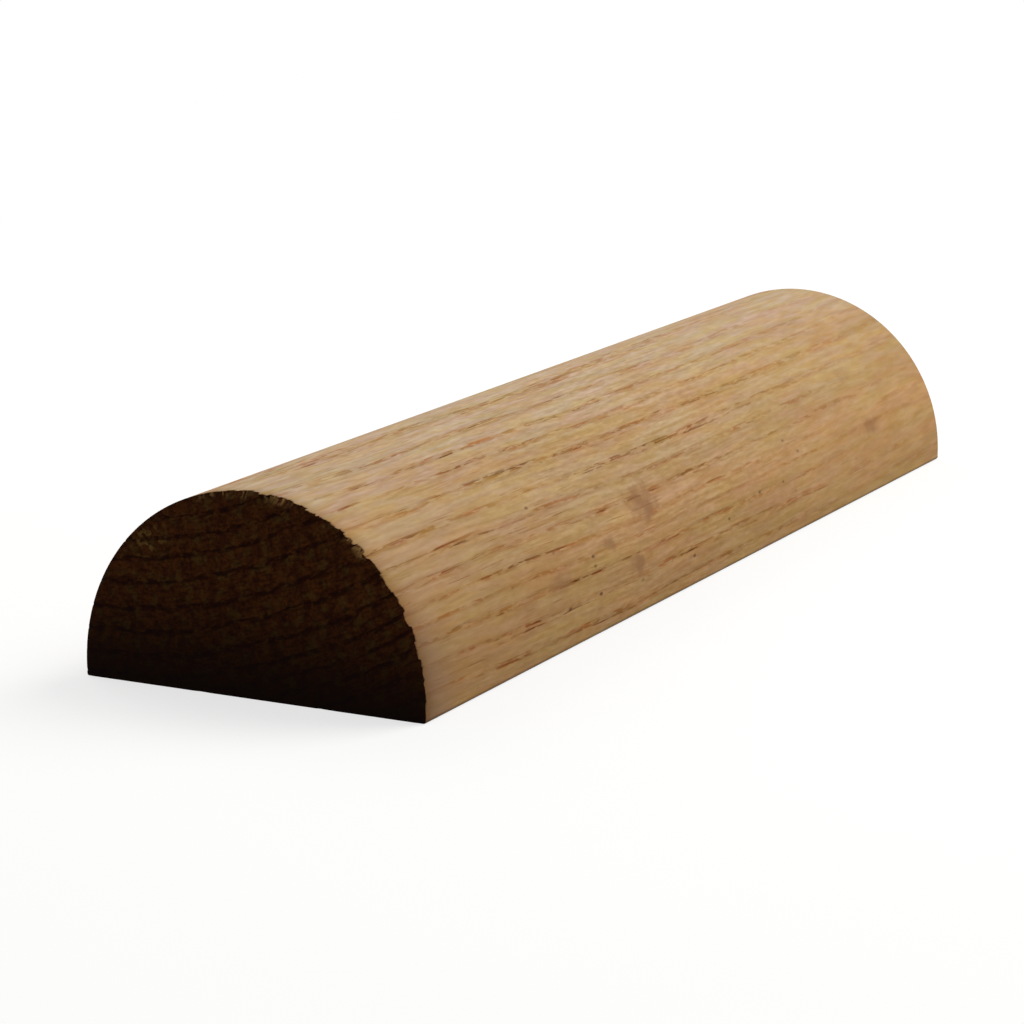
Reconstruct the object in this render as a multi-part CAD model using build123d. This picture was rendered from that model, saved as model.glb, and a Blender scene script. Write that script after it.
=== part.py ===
"""Half round moulding in oak: a short sawn length of one solid strip.

The section is a full semicircle on two short straight flanks, over a flat back. The strip is
run through a moulder, so its section is the same all the way along, and both ends are sawn square.

Frame: millimetres, +Z up. The strip lies on its flat back, with its length along X. The origin is
the middle of the back face.
"""

import os

from build123d import *

WIDTH = 38.0  # across the flat back
FLANK = 1.2  # height of the straight side below the round, left by a blank thicker than half the width
LENGTH = 130.0  # between the two sawn ends
ARRIS = 0.25  # radius of the two long back edges, dulled by the sander

CROWN_RADIUS = WIDTH / 2  # the round meets both flanks in a tangent


def moulded_section() -> Sketch:
    """Flat back, two flanks and the semicircle that joins them, drawn with the back on the x axis."""
    with BuildSketch() as section:
        with BuildLine():
            back = Line((-WIDTH / 2, 0), (WIDTH / 2, 0))
            right_flank = Line(back @ 1, (WIDTH / 2, FLANK))
            crown = CenterArc((0, FLANK), CROWN_RADIUS, 0, 180)
            left_flank = Line(crown @ 1, back @ 0)
        make_face()
        back_corners = section.vertices().group_by(Axis.Y)[0]
        fillet(back_corners, ARRIS)
    return section.sketch


def strip() -> Part:
    """The section stood up across the length, and run half the length to each side of the origin."""
    across_the_length = Plane(origin=(0, 0, 0), x_dir=(0, 1, 0), z_dir=(1, 0, 0))
    return extrude(across_the_length * moulded_section(), amount=LENGTH / 2, both=True)


half_round_strip = strip()
half_round_strip.label = "half_round_strip"

os.makedirs("parts", exist_ok=True)
export_step(half_round_strip, "parts/half_round_strip.step")
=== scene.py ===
import math

import bpy
import numpy as np
from mathutils import Matrix, Vector
from mathutils.geometry import delaunay_2d_cdt


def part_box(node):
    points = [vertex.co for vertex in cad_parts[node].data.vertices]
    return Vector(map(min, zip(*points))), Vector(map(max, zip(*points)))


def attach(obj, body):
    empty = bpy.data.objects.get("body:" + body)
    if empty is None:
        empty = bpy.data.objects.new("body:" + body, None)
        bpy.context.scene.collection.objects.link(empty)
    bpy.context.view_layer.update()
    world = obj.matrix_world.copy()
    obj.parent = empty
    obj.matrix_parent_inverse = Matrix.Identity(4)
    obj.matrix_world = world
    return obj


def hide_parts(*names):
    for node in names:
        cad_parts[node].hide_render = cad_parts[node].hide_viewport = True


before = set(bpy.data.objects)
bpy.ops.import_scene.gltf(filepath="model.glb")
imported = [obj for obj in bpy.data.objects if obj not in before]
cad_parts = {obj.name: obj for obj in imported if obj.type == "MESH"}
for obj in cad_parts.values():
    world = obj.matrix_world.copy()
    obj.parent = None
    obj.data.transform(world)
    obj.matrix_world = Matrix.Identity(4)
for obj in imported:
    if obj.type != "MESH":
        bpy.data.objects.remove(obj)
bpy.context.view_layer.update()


# The view
# A long lens looks along the strip from its near sawn end, some way round to the -Y side and a little
# above, as a merchant's catalogue shows a moulding: the section faces the eye, and the round runs away.

MM = 0.001  # one millimetre in the metres that everything here is placed in
VIEW_AZIMUTH = math.radians(-61.75)  # from square on to the -Y side, round towards the near end
VIEW_HEIGHT = math.radians(13.0)
VIEW_TILT = math.radians(-0.54)  # the camera is a touch off level
VIEW_DISTANCE = 379.6 * MM
VIEW_AIM = Vector((-3.8, 4.6, 5.1)) * MM
LENS = 120.45  # millimetres
SENSOR = 36  # millimetres wide

towards_eye = Vector((
    math.sin(VIEW_AZIMUTH) * math.cos(VIEW_HEIGHT),
    -math.cos(VIEW_AZIMUTH) * math.cos(VIEW_HEIGHT),
    math.sin(VIEW_HEIGHT),
))
level_view = towards_eye.to_track_quat("Z", "Y").to_matrix().to_4x4()
camera = bpy.data.objects.new("camera", bpy.data.cameras.new("camera"))
camera.data.lens = LENS
camera.data.sensor_width = SENSOR
camera.data.clip_start = 1 * MM
camera.matrix_world = (
    Matrix.Translation(VIEW_AIM + towards_eye * VIEW_DISTANCE)
    @ level_view
    @ Matrix.Rotation(VIEW_TILT, 4, "Z")
)
bpy.context.scene.collection.objects.link(camera)
bpy.context.scene.camera = camera


# The strip
# One solid length of oak. A moulder planes its flat back and runs the round and the two short flanks
# in one pass, the long faces are sanded along the grain, and a saw cuts both ends square.

strip_low, strip_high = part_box("half_round_strip")
LENGTH = strip_high.x - strip_low.x
WIDTH = strip_high.y - strip_low.y
HEIGHT = strip_high.z - strip_low.z
CROWN_RADIUS = WIDTH / 2
FLANK = HEIGHT - CROWN_RADIUS  # straight side below the round
ARRIS = 0.25 * MM  # radius of the two long back edges

ROUND_STEPS = 430  # across flanks and round, about 0.14 mm each, so that a vessel's groove has two or three
BACK_STEPS = 64
ARRIS_STEPS = 4
END_STEP = 0.12 * MM  # first step in from a sawn end, where torn fibres need it
FULL_STEP = 0.95 * MM  # step in the middle, where everything runs along the grain
STEP_GROWTH = 1.25
END_GRID = 0.36 * MM  # between points on a sawn end
RIM_GAP = 0.6 * END_GRID  # that those points keep clear of the rim
SHARP_EDGE = math.radians(50)  # an edge that turns more than this isn't shaded smooth


def rim_points():
    """The section's edge as points (y, z), all the way round, starting at the foot of the +Y flank."""
    straight = FLANK - ARRIS
    curve = math.pi * CROWN_RADIUS
    points = []
    for travelled in np.linspace(0, 2 * straight + curve, ROUND_STEPS + 1):
        if travelled < straight:
            points.append((CROWN_RADIUS, ARRIS + travelled))
        elif travelled > straight + curve:
            points.append((-CROWN_RADIUS, FLANK - (travelled - straight - curve)))
        else:
            turn = (travelled - straight) / CROWN_RADIUS
            points.append((CROWN_RADIUS * math.cos(turn), FLANK + CROWN_RADIUS * math.sin(turn)))
    for turn in np.linspace(math.pi, 1.5 * math.pi, ARRIS_STEPS + 1)[1:]:
        points.append((ARRIS - CROWN_RADIUS + ARRIS * math.cos(turn), ARRIS + ARRIS * math.sin(turn)))
    for y in np.linspace(ARRIS - CROWN_RADIUS, CROWN_RADIUS - ARRIS, BACK_STEPS + 1)[1:]:
        points.append((y, 0.0))
    for turn in np.linspace(1.5 * math.pi, 2 * math.pi, ARRIS_STEPS + 1)[1:-1]:
        points.append((CROWN_RADIUS - ARRIS + ARRIS * math.cos(turn), ARRIS + ARRIS * math.sin(turn)))
    return np.array(points)


def stations():
    """Places along the length, close together at both ends and evenly spaced between."""
    steps = [END_STEP]
    while sum(steps) < LENGTH / 2:
        steps.append(min(steps[-1] * STEP_GROWTH, FULL_STEP))
    from_end = np.concatenate([[0.0], np.cumsum(steps)]) * (LENGTH / 2) / sum(steps)
    return np.concatenate([from_end - LENGTH / 2, (LENGTH / 2 - from_end)[-2::-1]])


def end_face(rim):
    """Points (y, z) inside a sawn end and triangles over them, numbered after the rim's own points."""
    rows = np.arange(END_GRID, HEIGHT, END_GRID * math.sqrt(3) / 2)
    reach = CROWN_RADIUS - RIM_GAP
    inside = []
    for number, z in enumerate(rows):
        start = -CROWN_RADIUS + (number % 2) * END_GRID / 2
        for y in np.arange(start, CROWN_RADIUS, END_GRID):
            within_round = z < FLANK or math.hypot(y, z - FLANK) < reach
            if abs(y) < reach and within_round:
                inside.append((y, z))
    corners = [Vector(point) for point in np.vstack([rim, inside])]
    loop = [(i, (i + 1) % len(rim)) for i in range(len(rim))]
    inside_the_loop = 1
    same_point = 1e-9  # metres
    _, _, triangles, origins, _, _ = delaunay_2d_cdt(corners, loop, [], inside_the_loop, same_point)
    number_of = [source[0] for source in origins]
    return np.array(inside), [[number_of[corner] for corner in triangle] for triangle in triangles]


def strip_mesh():
    """The whole strip as one closed mesh, with material 0 on the long faces and 1 on the sawn ends."""
    rim = rim_points()
    places = stations()
    inside, triangles = end_face(rim)
    around, along = len(rim), len(places)
    long_faces = np.array([(x, y, z) for x in places for y, z in rim])
    near_end = np.column_stack([np.full(len(inside), places[0]), inside])
    far_end = np.column_stack([np.full(len(inside), places[-1]), inside])
    faces = []
    for row in range(along - 1):
        for step in range(around):
            here, beside = row * around + step, row * around + (step + 1) % around
            faces.append((here, beside, beside + around, here + around))
    quads = len(faces)
    last_rim = (along - 1) * around
    near_inside = along * around
    far_inside = near_inside + len(inside)
    for triangle in triangles:
        faces.append([p if p < around else near_inside + p - around for p in triangle][::-1])
    for triangle in triangles:
        faces.append([last_rim + p if p < around else far_inside + p - around for p in triangle])
    mesh = bpy.data.meshes.new("oak_strip")
    mesh.from_pydata(np.vstack([long_faces, near_end, far_end]).tolist(), [], faces)
    mesh.polygons.foreach_set("material_index", [0] * quads + [1] * (len(faces) - quads))
    mesh.shade_smooth()
    mesh.set_sharp_from_angle(angle=SHARP_EDGE)
    return mesh


def colour(code):
    """An sRGB hex value as the linear colour that a node takes."""
    shares = [int(code[i:i + 2], 16) / 255 for i in (1, 3, 5)]
    return [s / 12.92 if s <= 0.04045 else ((s + 0.055) / 1.055) ** 2.4 for s in shares] + [1.0]


def add(tree, kind, inputs, out=0, **settings):
    """Adds a node with its settings, links or sets its inputs, and gives back one of its outputs.

    Inputs come in order, or by number or name, and a colour comes as its sRGB hex value.
    """
    made = tree.nodes.new(kind)
    for name, value in settings.items():
        setattr(made, name, value)
    for name, value in (inputs.items() if isinstance(inputs, dict) else enumerate(inputs)):
        if isinstance(value, bpy.types.NodeSocket):
            tree.links.new(value, made.inputs[name])
        elif isinstance(value, str):
            made.inputs[name].default_value = colour(value)
        else:
            made.inputs[name].default_value = value
    return made.outputs[out]


# Settings for a map range of [value, low, high, given at low, given at high] that eases in and out,
# and for a mix of {0: share, 6: the colour below, 7: the one laid over it, or soaked into it}
SMOOTH = {"interpolation_type": "SMOOTHSTEP"}
LAID = {"out": 2, "data_type": "RGBA"}
SOAKED = {"out": 2, "data_type": "RGBA", "blend_type": "MULTIPLY"}

PITH = (21.0, 77.4, 0.0)  # the tree's centre, in mm towards the +Y side and above the back
YEAR = 2.13  # mm of growth in a mean year
RING_RADIUS = 63.9  # mm from the pith to the ring that the others are counted from
RING_SHARE = 0.13  # of a year that the wood there had grown
# Runs of good and poor years: the swing in years, and in mm of radius where it starts and its cycle
GOOD_YEARS = ((0.21, 61.9, 17.4), (0.07, 71.7, 7.2))
EARLYWOOD = 0.30  # share of a year that is open-pored spring growth
BOW = 0.9  # mm by which the grain bows down along the strip
BOW_MIDDLE = 5  # mm past the strip's middle, where it is lowest
BOW_REACH = 70  # mm from there, where the bow has run out
WANDER = 1.5  # mm between the furthest that the grain drifts one way and the other
KINK = 0.34  # mm likewise, for each short stretch of a row
VESSEL_GAP = 0.36  # mm between spring vessels, each 0.15 to 0.3 mm across
PORE_GAP = 0.21  # mm between the fine vessels of summer growth, drawn at twice their real 0.05 mm width


def figure(tree, place, along, across, detail=2.0, out=0):
    """The wood's uneven figure, in patches this long along the grain and this wide across it, in mm."""
    patches = (1 / along, 1 / across, 1 / across)  # to the mm
    stretched = add(tree, "ShaderNodeVectorMath", [place, patches], operation="MULTIPLY")
    inputs = {"Vector": stretched, "Scale": 1.0, "Detail": detail, "Roughness": 0.6}
    return add(tree, "ShaderNodeTexNoise", inputs, out=out)


def year_of(tree, section):
    """The share of its year, from 0 at spring to 1 at autumn, that a place in the log's section grew in."""
    radius = add(tree, "ShaderNodeVectorMath", [section, PITH], out="Value", operation="DISTANCE")
    start = RING_SHARE - RING_RADIUS / YEAR
    years = add(tree, "ShaderNodeMath", [radius, 1 / YEAR, start], operation="MULTIPLY_ADD")
    for gain, first, cycle in GOOD_YEARS:
        turn = 2 * math.pi / cycle
        angle = add(tree, "ShaderNodeMath", [radius, turn, -first * turn], operation="MULTIPLY_ADD")
        wave = add(tree, "ShaderNodeMath", [angle], operation="SINE")
        years = add(tree, "ShaderNodeMath", [wave, gain, years], operation="MULTIPLY_ADD")
    return add(tree, "ShaderNodeMath", [years], operation="FRACT")


def tubes(tree, section, gap, inner, outer):
    """Hollow tubes along the grain, a gap in mm apart: open to the inner share of it, closed by the outer.

    Gives how hollow a place is, from 0 to 1, and the chance and the middle of the tube that it is in.
    """
    inputs = {"Vector": section, "Scale": 1 / gap}
    tube = add(tree, "ShaderNodeTexVoronoi", inputs, voronoi_dimensions="2D").node.outputs
    chances = add(tree, "ShaderNodeSeparateXYZ", [tube["Color"]]).node.outputs
    slimmer = add(tree, "ShaderNodeMath", [chances["Y"], 0.8, 0.7], operation="MULTIPLY_ADD")
    away = add(tree, "ShaderNodeMath", [tube["Distance"], slimmer], operation="MULTIPLY")
    hollow = add(tree, "ShaderNodeMapRange", [away, inner, outer, 1.0, 0.0], **SMOOTH)
    return hollow, chances["X"], tube["Position"]


def bent_grain(tree, place, along):
    """A place in mm as if the grain ran straight, without its drift, its bow and the kinks of its rows."""
    wander = figure(tree, place, 38, 13, out="Color")
    swing = add(tree, "ShaderNodeVectorMath", [wander, (0.5, 0.5, 0.5)], operation="SUBTRACT")
    sideways = (0, WANDER, WANDER)
    drifted = add(tree, "ShaderNodeVectorMath", [swing, sideways, place], operation="MULTIPLY_ADD")
    reach = [along, 1 / BOW_REACH, -BOW_MIDDLE / BOW_REACH]
    offset = add(tree, "ShaderNodeMath", reach, operation="MULTIPLY_ADD")
    square = add(tree, "ShaderNodeMath", [offset, offset], operation="MULTIPLY")
    lift = add(tree, "ShaderNodeMath", [square, -BOW, BOW], operation="MULTIPLY_ADD")
    bow = add(tree, "ShaderNodeCombineXYZ", {"Z": lift})
    bowed = add(tree, "ShaderNodeVectorMath", [drifted, bow], operation="ADD")
    kink = figure(tree, place, 10, 1.3, out="Color")
    kinked = add(tree, "ShaderNodeVectorMath", [kink, (0.5, 0.5, 0.5)], operation="SUBTRACT")
    return add(tree, "ShaderNodeVectorMath", [kinked, (0, KINK, KINK), bowed], operation="MULTIPLY_ADD")


def oak_anatomy(tree, place):
    """What the wood is at a place in mm, worked out once for the whole log, so that all its faces agree.

    Gives the place in straight grain, and from 0 to 1 the spring growth, how clear its rows are, the open
    vessels, the fine pores, the streaks and the fibres.
    """
    along = add(tree, "ShaderNodeSeparateXYZ", [place])
    wood = bent_grain(tree, place, along)
    sides = add(tree, "ShaderNodeSeparateXYZ", [wood]).node.outputs
    section = add(tree, "ShaderNodeCombineXYZ", [sides["Y"], sides["Z"]])

    year = year_of(tree, section)
    starting = add(tree, "ShaderNodeMapRange", [year, 0.0, 0.06, 0.0, 1.0], **SMOOTH)
    ending = add(tree, "ShaderNodeMapRange", [year, 0.12, EARLYWOOD + 0.15, 1.0, 0.0], **SMOOTH)
    spring = add(tree, "ShaderNodeMath", [starting, ending], operation="MULTIPLY")
    streak = figure(tree, wood, 8, 0.5, detail=1.0)
    fibre = figure(tree, wood, 2.8, 0.4, detail=1.0)

    hollow, chance, middle = tubes(tree, section, VESSEL_GAP, 0.14, 0.41)
    in_spring = add(tree, "ShaderNodeMath", [year_of(tree, middle), EARLYWOOD], operation="LESS_THAN")
    hollow_spring = add(tree, "ShaderNodeMath", [hollow, in_spring], operation="MULTIPLY")
    dirt = add(tree, "ShaderNodeMapRange", [chance, 0.0, 1.0, 0.3, 1.0])
    single = add(tree, "ShaderNodeMath", [hollow_spring, dirt], operation="MULTIPLY")
    group = figure(tree, wood, 9, 1.0)
    grouped = add(tree, "ShaderNodeMapRange", [group, 0.38, 0.6, 0.35, 1.0], **SMOOTH)
    dash = figure(tree, wood, 2.4, 0.42)
    dashed = add(tree, "ShaderNodeMapRange", [dash, 0.42, 0.57, 0.12, 1.0], **SMOOTH)
    clear = add(tree, "ShaderNodeMath", [dashed, grouped], operation="MULTIPLY")
    # sanding dust fills the pores towards the far end
    unfilled = add(tree, "ShaderNodeMapRange", [along, -15.0, 55.0, 1.0, 0.2])
    open_share = add(tree, "ShaderNodeMath", [clear, unfilled], operation="MULTIPLY")
    vessel = add(tree, "ShaderNodeMath", [single, open_share], operation="MULTIPLY")

    fine, fine_chance, _ = tubes(tree, section, PORE_GAP, 0.12, 0.36)
    kept = add(tree, "ShaderNodeMapRange", [fine_chance, 0.45, 1.0, 0.0, 1.0])
    cut = figure(tree, wood, 3.2, 0.5)
    cut_open = add(tree, "ShaderNodeMapRange", [cut, 0.42, 0.6, 0.0, 1.0], **SMOOTH)
    seen = add(tree, "ShaderNodeMath", [cut_open, unfilled], operation="MULTIPLY")
    fine_kept = add(tree, "ShaderNodeMath", [fine, kept], operation="MULTIPLY")
    pore = add(tree, "ShaderNodeMath", [fine_kept, seen], operation="MULTIPLY")
    return {"wood": wood, "spring": spring, "clear": clear, "vessel": vessel, "pore": pore,
            "streak": streak, "fibre": fibre}


def place_in_mm(tree, position):
    """A position in mm, which the sizes of all the wood's patterns are given in."""
    return add(tree, "ShaderNodeVectorMath", {0: position, "Scale": 1 / MM}, operation="SCALE")


TORN = 0.55  # mm, the deepest that fibres are torn back along the strip from the near rim
LUMP = 1.1  # mm, how wide the lumps are in which they tear
JAGS = 2.2  # teeth to the mm in a lump's outline
FRAYED = 0.35  # mm, how far the rim frays besides
FRAYS = 1.3  # frayed tufts to the mm of rim
TORN_ALONG = 1.6  # mm along the strip over which a tear runs out
TORN_DOWN = 0.9  # mm down the sawn end over which it does


def torn_depth(tree, place):
    """How far, in mm, the near end's rim is torn back, most where the saw came out, high on the -Y side."""
    across = add(tree, "ShaderNodeVectorMath", [place, (0.0, 1.0, 1.0)], operation="MULTIPLY")
    jag = add(tree, "ShaderNodeTexNoise", {"Vector": across, "Scale": JAGS, "Detail": 2.0}, out="Color")
    jagged = add(tree, "ShaderNodeVectorMath", [jag, (0.0, 0.5, 0.5), across], operation="MULTIPLY_ADD")
    lump = add(tree, "ShaderNodeTexVoronoi", {"Vector": jagged, "Scale": 1 / LUMP}, out="Color")
    chance = add(tree, "ShaderNodeSeparateXYZ", [lump])
    lumped = add(tree, "ShaderNodeMapRange", [chance, 0.25, 0.95, 0.0, TORN])
    fray = add(tree, "ShaderNodeTexNoise", {"Vector": across, "Scale": FRAYS, "Detail": 2.0})
    frayed = add(tree, "ShaderNodeMapRange", [fray, 0.42, 0.7, 0.0, FRAYED])
    torn = add(tree, "ShaderNodeMath", [lumped, frayed], operation="ADD")
    spot = add(tree, "ShaderNodeSeparateXYZ", [place]).node.outputs
    for axis, none, full in (("X", 0.0, -10.0), ("Y", 9.0, 1.0), ("Z", -5.0, 15.0)):
        here = add(tree, "ShaderNodeMapRange", [spot[axis], none, full, 0.0, 1.0])
        torn = add(tree, "ShaderNodeMath", [torn, here], operation="MULTIPLY")
    return torn


def out_from_middle(tree, place):
    """How far, in mm, a place in the round lies from the middle of its circle."""
    above_flank = add(tree, "ShaderNodeVectorMath", [place, (0, 0, FLANK / MM)], operation="SUBTRACT")
    flat = add(tree, "ShaderNodeVectorMath", [above_flank, (0, 1, 1)], operation="MULTIPLY")
    return add(tree, "ShaderNodeVectorMath", [flat], out="Value", operation="LENGTH")


VESSEL_DEPTH = 0.09  # mm that an open vessel is sunk into the mesh
PORE_DEPTH = 0.02  # mm that a fine pore is
FIBRE_DEPTH = 0.015  # mm that the sander wears the softer fibres down


def carve(strip):
    """Sinks the open vessels, the fibres and the torn rim into the strip's mesh, always inwards."""
    tree = bpy.data.node_groups.new("carved_grain", "GeometryNodeTree")
    tree.interface.new_socket("Geometry", in_out="INPUT", socket_type="NodeSocketGeometry")
    tree.interface.new_socket("Geometry", in_out="OUTPUT", socket_type="NodeSocketGeometry")
    solid = tree.nodes.new("NodeGroupInput").outputs[0]
    place = place_in_mm(tree, tree.nodes.new("GeometryNodeInputPosition").outputs[0])
    outwards = tree.nodes.new("GeometryNodeInputNormal").outputs[0]
    oak = oak_anatomy(tree, place)

    groove = add(tree, "ShaderNodeMath", [oak["vessel"], VESSEL_DEPTH], operation="MULTIPLY")
    pored = add(tree, "ShaderNodeMath", [oak["pore"], PORE_DEPTH, groove], operation="MULTIPLY_ADD")
    worn = add(tree, "ShaderNodeMath", [oak["fibre"], FIBRE_DEPTH, pored], operation="MULTIPLY_ADD")
    sunk = add(tree, "ShaderNodeMath", [worn, -MM], operation="MULTIPLY")
    grooved = add(tree, "ShaderNodeVectorMath", {0: outwards, "Scale": sunk}, operation="SCALE")

    along = add(tree, "ShaderNodeSeparateXYZ", [place])
    from_end = add(tree, "ShaderNodeMath", [along, LENGTH / 2 / MM], operation="ADD")
    run_out = add(tree, "ShaderNodeMath", [from_end, TORN_ALONG], operation="DIVIDE")
    out = out_from_middle(tree, place)
    from_rim = add(tree, "ShaderNodeMath", [CROWN_RADIUS / MM, out], operation="SUBTRACT")
    away = add(tree, "ShaderNodeMath", [from_rim, 1 / TORN_DOWN, run_out], operation="MULTIPLY_ADD")
    close = add(tree, "ShaderNodeMapRange", [away, 0.0, 1.0, 1.0, 0.0], **SMOOTH)
    chip = add(tree, "ShaderNodeMath", [torn_depth(tree, place), close], operation="MULTIPLY")
    inwards = add(tree, "ShaderNodeMath", [chip, MM], operation="MULTIPLY")
    torn = add(tree, "ShaderNodeCombineXYZ", {"X": inwards})
    offset = add(tree, "ShaderNodeVectorMath", [grooved, torn], operation="ADD")
    carved = add(tree, "GeometryNodeSetPosition", {"Geometry": solid, "Offset": offset})
    tree.links.new(carved, tree.nodes.new("NodeGroupOutput").inputs[0])
    strip.modifiers.new("carved_grain", "NODES").node_group = tree
    finished = strip.evaluated_get(bpy.context.evaluated_depsgraph_get())
    strip.data = bpy.data.meshes.new_from_object(finished)
    strip.modifiers.clear()


def new_material(name):
    """A material of this name, its node tree, and the one shader in it."""
    material = bpy.data.materials.new(name)
    material.use_nodes = True
    tree = material.node_tree
    tree.nodes.clear()
    shader = tree.nodes.new("ShaderNodeBsdfPrincipled")
    tree.links.new(shader.outputs[0], tree.nodes.new("ShaderNodeOutputMaterial").inputs[0])
    return material, tree, shader


# Brown finger marks: mm from the near end, mm up round the face from the back, length, height, and strength
SMUDGES = ((50.6, 10.8, 3.2, 2.7, 0.85), (45.9, 5.2, 2.1, 1.1, 0.85), (28.7, 6.9, 2.6, 1.5, 0.5),
           (40.6, 8.3, 1.8, 1.0, 0.7), (109.7, 14.9, 2.4, 1.0, 0.3), (110.0, 8.0, 3.0, 1.3, 0.6))
SMUDGE_BREAKS = 0.55  # to the mm, in a finger mark's ragged edge


def smudged(tree, place):
    """How much a finger mark darkens a place, from 0 to 1."""
    noise = add(tree, "ShaderNodeTexNoise", {"Vector": place, "Scale": SMUDGE_BREAKS, "Detail": 2.0})
    ragged = add(tree, "ShaderNodeMapRange", [noise, 0.3, 0.7, -0.45, 0.45])
    total = 0.0
    for along, up, length, height, strength in SMUDGES:
        turn = (up - FLANK / MM) * MM / CROWN_RADIUS
        centre = (
            along - LENGTH / 2 / MM,
            -CROWN_RADIUS / MM * math.cos(turn),
            FLANK / MM + CROWN_RADIUS / MM * math.sin(turn),
        )
        off = add(tree, "ShaderNodeVectorMath", [place, centre], operation="SUBTRACT")
        sized = add(tree, "ShaderNodeVectorMath", [off, (length, height, height)], operation="DIVIDE")
        away = add(tree, "ShaderNodeVectorMath", [sized], out="Value", operation="LENGTH")
        edge = add(tree, "ShaderNodeMath", [away, ragged], operation="ADD")
        mark = add(tree, "ShaderNodeMapRange", [edge, 0.1, 1.2, strength, 0.0], **SMOOTH)
        total = add(tree, "ShaderNodeMath", [total, mark], operation="MAXIMUM")
    return total


SPECKS = (1 / 5, 1 / 2.5, 1 / 2.5)  # to the mm, along the grain and across it


def specked(tree, place):
    """How much a speck of dirt darkens a place, from 0 to 1.

    The specks lie in clusters where hands have held the strip: below the crown, and few past the middle.
    """
    scaled = add(tree, "ShaderNodeVectorMath", [place, SPECKS], operation="MULTIPLY")
    away = add(tree, "ShaderNodeTexVoronoi", {"Vector": scaled, "Scale": 1.0}, out="Distance")
    share = add(tree, "ShaderNodeMapRange", [away, 0.04, 0.10, 0.75, 0.0])
    spot = add(tree, "ShaderNodeSeparateXYZ", [place]).node.outputs
    near_end = -LENGTH / 2 / MM
    cluster = figure(tree, place, 12, 5)
    clusters = add(tree, "ShaderNodeMapRange", [cluster, 0.38, 0.52, 0.0, 1.0], **SMOOTH)
    below_crown = add(tree, "ShaderNodeMapRange", [spot["Z"], 14.0, 18.5, 1.0, 0.0], **SMOOTH)
    off_near_end = add(tree, "ShaderNodeMapRange", [spot["X"], near_end + 10, near_end + 22, 0.0, 1.0])
    towards_near = add(tree, "ShaderNodeMapRange", [spot["X"], 5.0, 40.0, 1.0, 0.2])
    for limit in (clusters, below_crown, off_near_end, towards_near):
        share = add(tree, "ShaderNodeMath", [share, limit], operation="MULTIPLY")
    return share


def evened(tree, share, mean, left):
    """A share drawn towards its mean, by how much of its unevenness wear has left."""
    off = add(tree, "ShaderNodeMath", [share, mean], operation="SUBTRACT")
    return add(tree, "ShaderNodeMath", [off, left, mean], operation="MULTIPLY_ADD")


WOOD_IOR = 1.53  # of the cell walls; the open cells between them take most of the shine away
WOOD_SHINE = 0.1  # so the specular level is far below a solid's 0.5
VESSEL_BUMP = 0.04  # mm of relief in a vessel besides its groove in the mesh
PORE_BUMP = 0.015  # mm in a pore
FIBRE_BUMP = 0.01  # mm from fibre to fibre


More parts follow.
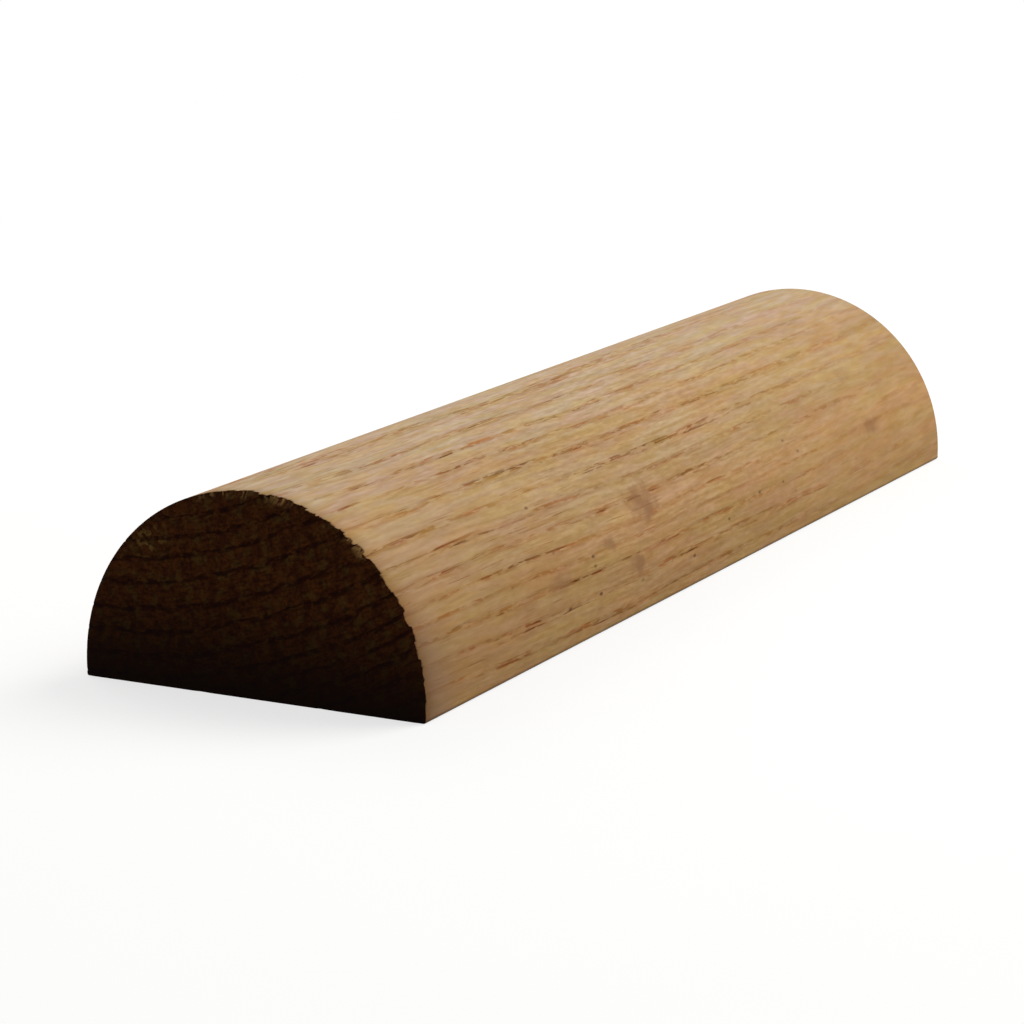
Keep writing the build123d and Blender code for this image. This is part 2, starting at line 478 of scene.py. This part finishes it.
def moulded_sanded_oak():
    """Oak planed to the moulding and sanded along the grain, with no finish on it.

    The eye sees golden summer wood, with darker rows of open vessels along each year's spring growth, a
    paler and greyer crown that is a painted sheen, and low down towards the near end the dirt of handling
    together with painted shade, and a painted contact shadow along the foot of each side.
    """
    material, tree, shader = new_material("moulded_sanded_oak")
    place = place_in_mm(tree, add(tree, "ShaderNodeTexCoord", [], out="Object"))
    oak = oak_anatomy(tree, place)
    wood = oak["wood"]
    spot = add(tree, "ShaderNodeSeparateXYZ", [place]).node.outputs
    half = LENGTH / 2 / MM

    # summer wood, paler and greyer up the round and most on the crown, which is a painted sheen, with grey,
    # rosy and golden patches
    crown = add(tree, "ShaderNodeMapRange", [spot["Z"], 17.0, 20.3, 0.0, 1.0], **SMOOTH)
    upper = add(tree, "ShaderNodeMapRange", [spot["Z"], 7.5, 15.0, 0.0, 1.0], **SMOOTH)
    turning = add(tree, "ShaderNodeMix", {0: upper, 6: "#D3AF7F", 7: "#CBAE86"}, **LAID)
    plain = add(tree, "ShaderNodeMix", {0: crown, 6: turning, 7: "#CDB89D"}, **LAID)
    broad = figure(tree, wood, 30, 4, detail=3.0)
    grey_share = add(tree, "ShaderNodeMapRange", [broad, 0.3, 0.7, 0.0, 0.7], **SMOOTH)
    greyed = add(tree, "ShaderNodeMix", {0: grey_share, 6: plain, 7: "#EDE9E2"}, **SOAKED)
    rosy = figure(tree, wood, 17, 2.6)
    rose_share = add(tree, "ShaderNodeMapRange", [rosy, 0.35, 0.65, 0.0, 1.0], **SMOOTH)
    rosed = add(tree, "ShaderNodeMix", {0: rose_share, 6: greyed, 7: "#FFF4FC"}, **SOAKED)
    golden = figure(tree, wood, 6, 1.0, detail=1.0)
    gold_share = add(tree, "ShaderNodeMapRange", [golden, 0.35, 0.65, 0.0, 0.8], **SMOOTH)
    high = add(tree, "ShaderNodeMapRange", [spot["Z"], 10.0, 17.0, 0.0, 1.0], **SMOOTH)
    gold = add(tree, "ShaderNodeMix", {0: high, 6: "#FFFCE4", 7: "#FFF9D4"}, **LAID)
    summer = add(tree, "ShaderNodeMix", {0: gold_share, 6: rosed, 7: gold}, **SOAKED)

    # streaks, fibres, the stain of each spring growth and a fuzz of cut ends; fibres and fuzz are more even
    # towards both ends of the strip
    streak_share = add(tree, "ShaderNodeMapRange", [oak["streak"], 0.3, 0.7, 0.0, 0.5], **SMOOTH)
    streaked = add(tree, "ShaderNodeMix", {0: streak_share, 6: summer, 7: "#E1D9C8"}, **SOAKED)
    near_left = add(tree, "ShaderNodeMapRange", [spot["X"], -half, -25.0, 0.45, 1.0])
    far_left = add(tree, "ShaderNodeMapRange", [spot["X"], 15.0, half, 1.0, 0.5])
    left = add(tree, "ShaderNodeMath", [near_left, far_left], operation="MULTIPLY")
    fibrous = add(tree, "ShaderNodeMapRange", [oak["fibre"], 0.3, 0.7, 0.0, 0.35], **SMOOTH)
    fibre_share = evened(tree, fibrous, 0.17, left)
    fibred = add(tree, "ShaderNodeMix", {0: fibre_share, 6: streaked, 7: "#DCD2BC"}, **SOAKED)
    rust = figure(tree, wood, 6, 1.2)
    rusty = add(tree, "ShaderNodeMapRange", [rust, 0.4, 0.6, 0.0, 1.0], **SMOOTH)
    ring_stain = add(tree, "ShaderNodeMix", {0: rusty, 6: "#DCC692", 7: "#E6BD98"}, **LAID)
    ring_share = add(tree, "ShaderNodeMath", [oak["spring"], oak["clear"]], operation="MULTIPLY")
    ringed = add(tree, "ShaderNodeMix", {0: ring_share, 6: fibred, 7: ring_stain}, **SOAKED)
    fuzz = figure(tree, wood, 1.4, 0.4, detail=1.5)
    fuzzy = add(tree, "ShaderNodeMapRange", [fuzz, 0.3, 0.7, 0.0, 0.45], **SMOOTH)
    fuzz_share = evened(tree, fuzzy, 0.22, left)
    furred = add(tree, "ShaderNodeMix", {0: fuzz_share, 6: ringed, 7: "#E4D8C4"}, **SOAKED)

    # pores and vessels, the sanding dust that hides them towards the far end, and darker streaks in the dust
    pored = add(tree, "ShaderNodeMix", {0: oak["pore"], 6: furred, 7: "#E0D0B4"}, **SOAKED)
    vessel_stain = add(tree, "ShaderNodeMix", {0: rusty, 6: "#907236", 7: "#A26C38"}, **LAID)
    opened = add(tree, "ShaderNodeMix", {0: oak["vessel"], 6: pored, 7: vessel_stain}, **SOAKED)
    dust_share = add(tree, "ShaderNodeMapRange", [spot["X"], 0.0, half, 0.0, 0.65])
    # the dust is paler on the crown too, as part of the painted sheen
    dust = add(tree, "ShaderNodeMix", {0: crown, 6: "#EEEADC", 7: "#F2EFEC"}, **LAID)
    dusty_summer = add(tree, "ShaderNodeMix", {0: 1.0, 6: summer, 7: dust}, **SOAKED)
    dusted = add(tree, "ShaderNodeMix", {0: dust_share, 6: opened, 7: dusty_summer}, **LAID)
    rubbing = figure(tree, wood, 5, 0.9, detail=1.0)
    rubbed = add(tree, "ShaderNodeMapRange", [rubbing, 0.35, 0.65, 0.0, 0.65], **SMOOTH)
    rub_share = add(tree, "ShaderNodeMath", [rubbed, dust_share], operation="MULTIPLY")
    rub_stain = add(tree, "ShaderNodeMix", {0: rusty, 6: "#DAD2AC", 7: "#DECAAE"}, **LAID)
    bare = add(tree, "ShaderNodeMix", {0: rub_share, 6: dusted, 7: rub_stain}, **SOAKED)

    # the dirt of handling: a duller lower side and grime beside the near end, both partly painted shade,
    # finger marks, specks, and dark edges along the foot of each side that are a painted contact shadow
    handled_and_shaded = add(tree, "ShaderNodeMapRange", [spot["X"], -half, half, 1.0, 0.0])
    lower = add(tree, "ShaderNodeMapRange", [spot["Z"], 5.0, 17.0, 1.0, 0.0], **SMOOTH)
    dull_share = add(tree, "ShaderNodeMath", [handled_and_shaded, lower], operation="MULTIPLY")
    dulled = add(tree, "ShaderNodeMix", {0: dull_share, 6: bare, 7: "#E6E4DA"}, **SOAKED)
    # beside the near end, low down: grime and painted shade together
    near_end_band = add(tree, "ShaderNodeMapRange", [spot["X"], -half, 8 - half, 0.7, 0.0], **SMOOTH)
    low_band = add(tree, "ShaderNodeMapRange", [spot["Z"], 4.0, 15.0, 1.0, 0.0], **SMOOTH)
    grime_and_shade = add(tree, "ShaderNodeMath", [near_end_band, low_band], operation="MULTIPLY")
    grimed_and_shaded = add(tree, "ShaderNodeMix", {0: grime_and_shade, 6: dulled, 7: "#8E705A"}, **LAID)
    fingered = add(tree, "ShaderNodeMix", {0: smudged(tree, place), 6: grimed_and_shaded, 7: "#956B47"}, **LAID)
    dotted = add(tree, "ShaderNodeMix", {0: specked(tree, place), 6: fingered, 7: "#45290F"}, **LAID)
    # painted contact shadow: a dark line along the foot of each long side, where it meets the floor
    aside = add(tree, "ShaderNodeMath", [spot["Y"]], operation="ABSOLUTE")
    side = CROWN_RADIUS / MM
    at_edge = add(tree, "ShaderNodeMapRange", [aside, side - 0.8, side - 0.2, 0.0, 0.75], **SMOOTH)
    low_down = add(tree, "ShaderNodeMapRange", [spot["Z"], 0.05, 0.45, 1.0, 0.0])
    foot_shadow = add(tree, "ShaderNodeMath", [at_edge, low_down], operation="MULTIPLY")
    foot_shaded = add(tree, "ShaderNodeMix", {0: foot_shadow, 6: dotted, 7: "#3E2A17"}, **LAID)

    # what the near sawn end has drunk, drawn a few mm along the grain, and dark in the torn rim, where the
    # dark brown is partly that stain and partly painted shade on the torn faces
    drawn = add(tree, "ShaderNodeMapRange", [spot["X"], 3.5 - half, -half, 0.0, 1.0])
    wetted = add(tree, "ShaderNodeMath", [drawn, drawn], operation="MULTIPLY")
    damp = add(tree, "ShaderNodeMix", {0: wetted, 6: foot_shaded, 7: "#CDBB8E"}, **SOAKED)
    wick = figure(tree, place, 3, 0.8)
    wicked = add(tree, "ShaderNodeMapRange", [wick, 0.35, 0.65, 0.0, 0.25])
    behind = add(tree, "ShaderNodeMath", [wicked, torn_depth(tree, place)], operation="ADD")
    past = add(tree, "ShaderNodeMath", [behind, spot["X"]], operation="SUBTRACT")
    # the torn rim's dark brown: partly the drunk stain, partly painted shade
    dark_share = add(tree, "ShaderNodeMapRange", [past, half - 0.2, half + 0.3, 0.0, 0.95], **SMOOTH)
    whole = add(tree, "ShaderNodeMix", {0: dark_share, 6: damp, 7: "#3A1A09"}, **LAID)
    tree.links.new(whole, shader.inputs["Base Color"])

    rough = add(tree, "ShaderNodeMapRange", [oak["fibre"], 0.3, 0.7, 0.65, 0.8])
    tree.links.new(rough, shader.inputs["Roughness"])
    groove = add(tree, "ShaderNodeMath", [oak["vessel"], -VESSEL_BUMP], operation="MULTIPLY")
    pores = add(tree, "ShaderNodeMath", [oak["pore"], -PORE_BUMP, groove], operation="MULTIPLY_ADD")
    height = add(tree, "ShaderNodeMath", [oak["fibre"], FIBRE_BUMP, pores], operation="MULTIPLY_ADD")
    bump = add(tree, "ShaderNodeBump", {"Height": height, "Distance": MM})
    tree.links.new(bump, shader.inputs["Normal"])
    shader.inputs["IOR"].default_value = WOOD_IOR
    shader.inputs["Specular IOR Level"].default_value = WOOD_SHINE
    return material


MOTTLES = 1.3  # patches to the mm on a sawn end, of plain mottling
MOSSES = 0.8  # of greener brown
CLOTS = 3.0  # of clotted dirt
FLAKES = 1.7  # of dried fibre
DRY_PLACE = (11.3, 14.6)  # mm towards +Y and up, where the near end has dried
SAWN_ROUGHNESS = 0.85
SAWN_SHINE = 0.05  # half the long faces' specular level, as cut cells scatter more


def ring_place_of(tree, wood):
    """A place as mm round its ring, which a figure takes as along the grain, and mm out from the pith."""
    spot = add(tree, "ShaderNodeSeparateXYZ", [wood]).node.outputs
    aside = add(tree, "ShaderNodeMath", [spot["Y"], PITH[0]], operation="SUBTRACT")
    below = add(tree, "ShaderNodeMath", [PITH[1], spot["Z"]], operation="SUBTRACT")
    bearing = add(tree, "ShaderNodeMath", [aside, below], operation="ARCTAN2")
    round_ring = add(tree, "ShaderNodeMath", [bearing, RING_RADIUS], operation="MULTIPLY")
    squared = add(tree, "ShaderNodeMath", [aside, aside], operation="MULTIPLY")
    squares = add(tree, "ShaderNodeMath", [below, below, squared], operation="MULTIPLY_ADD")
    radius = add(tree, "ShaderNodeMath", [squares], operation="SQRT")
    return add(tree, "ShaderNodeCombineXYZ", [round_ring, radius])


def hanging_fibres(tree, place):
    """How much of a place on a sawn end is pale fibre that hangs in from its rim, from 0 to 1."""
    spot = add(tree, "ShaderNodeSeparateXYZ", [place]).node.outputs
    rim = CROWN_RADIUS / MM
    raised = add(tree, "ShaderNodeMath", [spot["Z"], FLANK / MM], operation="SUBTRACT")
    angle = add(tree, "ShaderNodeMath", [raised, spot["Y"]], operation="ARCTAN2")
    round_rim = add(tree, "ShaderNodeMath", [angle, rim], operation="MULTIPLY")
    out = out_from_middle(tree, place)
    rim_place = add(tree, "ShaderNodeCombineXYZ", [round_rim, out])
    strand = figure(tree, rim_place, 0.5, 1.0)
    tuft = figure(tree, rim_place, 1.7, 4.0)
    share = add(tree, "ShaderNodeMapRange", [strand, 0.46, 0.62, 0.0, 0.8], **SMOOTH)
    tufts = add(tree, "ShaderNodeMapRange", [tuft, 0.5, 0.62, 0.0, 1.0], **SMOOTH)
    by_rim = add(tree, "ShaderNodeMapRange", [out, rim - 0.9, rim - 0.1, 0.0, 1.0], **SMOOTH)
    near_crown = add(tree, "ShaderNodeMapRange", [spot["Z"], 9.0, 16.0, 0.0, 1.0], **SMOOTH)
    torn_side = add(tree, "ShaderNodeMapRange", [spot["Y"], 8.0, 2.0, 0.0, 1.0], **SMOOTH)
    for limit in (tufts, by_rim, near_crown, torn_side):
        share = add(tree, "ShaderNodeMath", [share, limit], operation="MULTIPLY")
    return share


def sawn_end_grain():
    """The same oak across the grain, as a fine saw leaves it, darkened partly by the oil and dirt it has
    drunk and partly by painted shade.

    The eye sees almost black brown, with the years as rows of still darker dots, and painted shade makes it
    darkest towards the back, next to the floor; both ends are written so.
    """
    material, tree, shader = new_material("sawn_oak_end_grain")
    place = place_in_mm(tree, add(tree, "ShaderNodeTexCoord", [], out="Object"))
    oak = oak_anatomy(tree, place)
    ring_place = ring_place_of(tree, oak["wood"])
    spot = add(tree, "ShaderNodeSeparateXYZ", [place]).node.outputs

    # oiled wood, mottled, with clotted dirt, flecks along the rings and rays across them; the dark browns
    # are partly painted shade of the near end, and both ends carry it
    inputs = {"Vector": place, "Scale": MOTTLES, "Detail": 4.0, "Roughness": 0.6}
    mottle = add(tree, "ShaderNodeTexNoise", inputs)
    mottled = add(tree, "ShaderNodeMapRange", [mottle, 0.35, 0.65, 0.0, 1.0], **SMOOTH)
    # these dark browns are partly painted shade of the near end
    oiled_and_shaded = add(tree, "ShaderNodeMix", {0: mottled, 6: "#361706", 7: "#4F2A0E"}, **LAID)
    moss = add(tree, "ShaderNodeTexNoise", {"Vector": place, "Scale": MOSSES, "Detail": 2.0})
    mossy = add(tree, "ShaderNodeMapRange", [moss, 0.5, 0.65, 0.0, 0.6], **SMOOTH)
    greened = add(tree, "ShaderNodeMix", {0: mossy, 6: oiled_and_shaded, 7: "#4E3A18"}, **LAID)
    clot = add(tree, "ShaderNodeTexNoise", {"Vector": place, "Scale": CLOTS, "Detail": 2.0})
    clots = add(tree, "ShaderNodeMapRange", [clot, 0.42, 0.62, 0.0, 0.3], **SMOOTH)
    clotted = add(tree, "ShaderNodeMix", {0: clots, 6: greened, 7: "#8A5C50"}, **SOAKED)
    fleck = figure(tree, ring_place, 0.9, 0.35)
    flecks = add(tree, "ShaderNodeMapRange", [fleck, 0.48, 0.62, 0.0, 0.55], **SMOOTH)
    flecked = add(tree, "ShaderNodeMix", {0: flecks, 6: clotted, 7: "#7C5040"}, **SOAKED)
    ray = figure(tree, ring_place, 0.35, 5.0)
    rays = add(tree, "ShaderNodeMapRange", [ray, 0.5, 0.75, 0.0, 0.15], **SMOOTH)
    rayed = add(tree, "ShaderNodeMix", {0: rays, 6: flecked, 7: "#5E3E1E"}, **LAID)

    # a patch high on the +Y side that has dried and flaked
    dry_middle = (-LENGTH / 2 / MM, *DRY_PLACE)
    from_dry = add(tree, "ShaderNodeVectorMath", [place, dry_middle], out="Value", operation="DISTANCE")
    dry = add(tree, "ShaderNodeMapRange", [from_dry, 0.6, 3.2, 1.0, 0.0], **SMOOTH)
    flake = add(tree, "ShaderNodeTexNoise", {"Vector": place, "Scale": FLAKES, "Detail": 1.0})
    flakes = add(tree, "ShaderNodeMapRange", [flake, 0.5, 0.66, 0.0, 0.8], **SMOOTH)
    flaked = add(tree, "ShaderNodeMath", [dry, flakes], operation="MULTIPLY")
    dried = add(tree, "ShaderNodeMix", {0: flaked, 6: rayed, 7: "#6E5428"}, **LAID)

    # the years, as broken dark rows with their open vessels, and all of it darker towards the back, which
    # is painted shade from the floor
    rows = add(tree, "ShaderNodeMapRange", [oak["spring"], 0.2, 0.9, 0.0, 1.0], **SMOOTH)
    dash = figure(tree, ring_place, 1.3, 0.6)
    dashes = add(tree, "ShaderNodeMapRange", [dash, 0.4, 0.56, 0.0, 0.85], **SMOOTH)
    dashed = add(tree, "ShaderNodeMath", [rows, dashes], operation="MULTIPLY")
    ringed = add(tree, "ShaderNodeMix", {0: dashed, 6: dried, 7: "#7E4638"}, **SOAKED)
    open_share = add(tree, "ShaderNodeMath", [oak["vessel"], 0.4], operation="MULTIPLY")
    opened = add(tree, "ShaderNodeMix", {0: open_share, 6: ringed, 7: "#120302"}, **LAID)
    # painted shade: darker towards the back, next to the floor
    dark_share = add(tree, "ShaderNodeMapRange", [spot["Z"], -1.0, 13.0, 0.96, 0.0], **SMOOTH)
    shaded_to_back = add(tree, "ShaderNodeMix", {0: dark_share, 6: opened, 7: "#070201"}, **LAID)
    whole = add(tree, "ShaderNodeMix", {0: hanging_fibres(tree, place), 6: shaded_to_back, 7: "#A07A48"}, **LAID)
    tree.links.new(whole, shader.inputs["Base Color"])
    shader.inputs["Roughness"].default_value = SAWN_ROUGHNESS
    shader.inputs["IOR"].default_value = WOOD_IOR
    shader.inputs["Specular IOR Level"].default_value = SAWN_SHINE
    return material


oak_strip = bpy.data.objects.new("oak_strip", strip_mesh())
bpy.context.scene.collection.objects.link(oak_strip)
oak_strip.data.materials.append(moulded_sanded_oak())
oak_strip.data.materials.append(sawn_end_grain())
carve(oak_strip)
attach(oak_strip, "root")
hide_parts("half_round_strip")


# The studio
# A pale matt floor under the strip, a large soft lamp above the far right, a weaker one above the side
# away from the eye, and an even pale room. The near sawn end faces away from the lamps and stays in shade.

FLOOR_SIZE = 6.0  # metres each way
FLOOR_DROP = 0.02 * MM  # below the flat back, so that the two don't share a plane
FLOOR_GLOW = 0.68  # strength that the floor shows by itself, on top of the light that falls on it
SHADOW_FADE = (0.12, 0.3)  # metres from the strip's middle between which the floor turns plain white
ROOM_LIGHT = 0.38  # strength of the room as light

floor_mesh = bpy.data.meshes.new("floor")
reach = FLOOR_SIZE / 2
corners = [(x * reach, y * reach, -FLOOR_DROP) for x, y in ((-1, -1), (1, -1), (1, 1), (-1, 1))]
floor_mesh.from_pydata(corners, [], [(0, 1, 2, 3)])
floor = bpy.data.objects.new("floor", floor_mesh)
bpy.context.scene.collection.objects.link(floor)


def seen_directly(tree):
    """1 for what the eye sees, straight or by gloss or glass, and 0 for light that falls on things."""
    path = tree.nodes.new("ShaderNodeLightPath").outputs
    first = add(tree, "ShaderNodeMath", [path["Is Camera Ray"], path["Is Glossy Ray"]], operation="MAXIMUM")
    return add(tree, "ShaderNodeMath", [first, path["Is Transmission Ray"]], operation="MAXIMUM")


def matt_paper_floor():
    """Matt paper: it shows white, takes the strip's soft shadow, and throws only a little light back up."""
    material = bpy.data.materials.new("matt_paper_floor")
    material.use_nodes = True
    tree = material.node_tree
    tree.nodes.clear()
    paper = add(tree, "ShaderNodeBsdfDiffuse", {"Color": "#9E9E9C"})
    glow = add(tree, "ShaderNodeEmission", {"Color": "#FFFFFF", "Strength": FLOOR_GLOW})
    lit = add(tree, "ShaderNodeAddShader", [paper, glow])
    place = tree.nodes.new("ShaderNodeNewGeometry").outputs["Position"]
    from_strip = add(tree, "ShaderNodeVectorMath", [place], out="Value", operation="LENGTH")
    far_off = add(tree, "ShaderNodeMapRange", [from_strip, *SHADOW_FADE, 0.0, 1.0], **SMOOTH)
    blank = add(tree, "ShaderNodeEmission", {"Color": "#FFFFFF", "Strength": 1.0})
    shown = add(tree, "ShaderNodeMixShader", [far_off, lit, blank])
    dull = add(tree, "ShaderNodeBsdfDiffuse", {"Color": "#A4A4A4"})
    mixed = add(tree, "ShaderNodeMixShader", [seen_directly(tree), dull, shown])
    tree.links.new(mixed, tree.nodes.new("ShaderNodeOutputMaterial").inputs[0])
    return material


floor_mesh.materials.append(matt_paper_floor())

room = bpy.data.worlds.new("room")
room.use_nodes = True
room_tree = room.node_tree
room_tree.nodes.clear()
strength = add(room_tree, "ShaderNodeMapRange", [seen_directly(room_tree), 0.0, 1.0, ROOM_LIGHT, 1.0])
sky = add(room_tree, "ShaderNodeBackground", {"Color": "#FFFFFF", "Strength": strength})
room_tree.links.new(sky, room_tree.nodes.new("ShaderNodeOutputWorld").inputs[0])
bpy.context.scene.world = room


def soft_lamp(name, direction, distance, size, level):
    """A square lamp facing the strip. At level 1 a face turned to it renders at its own colour."""
    lamp = bpy.data.lights.new(name, "AREA")
    lamp.shape = "SQUARE"
    lamp.size = size
    lamp.energy = level * (math.pi * distance) ** 2
    holder = bpy.data.objects.new(name, lamp)
    way = Vector(direction).normalized()
    facing = way.to_track_quat("Z", "Y").to_matrix().to_4x4()
    holder.matrix_world = Matrix.Translation(way * distance) @ facing
    bpy.context.scene.collection.objects.link(holder)


soft_lamp("key_lamp", direction=(0.48, -0.45, 0.75), distance=0.60, size=0.40, level=0.77)
soft_lamp("back_lamp", direction=(0.35, 0.75, 0.60), distance=0.80, size=0.50, level=0.25)

bpy.context.scene.view_settings.view_transform = "Standard"
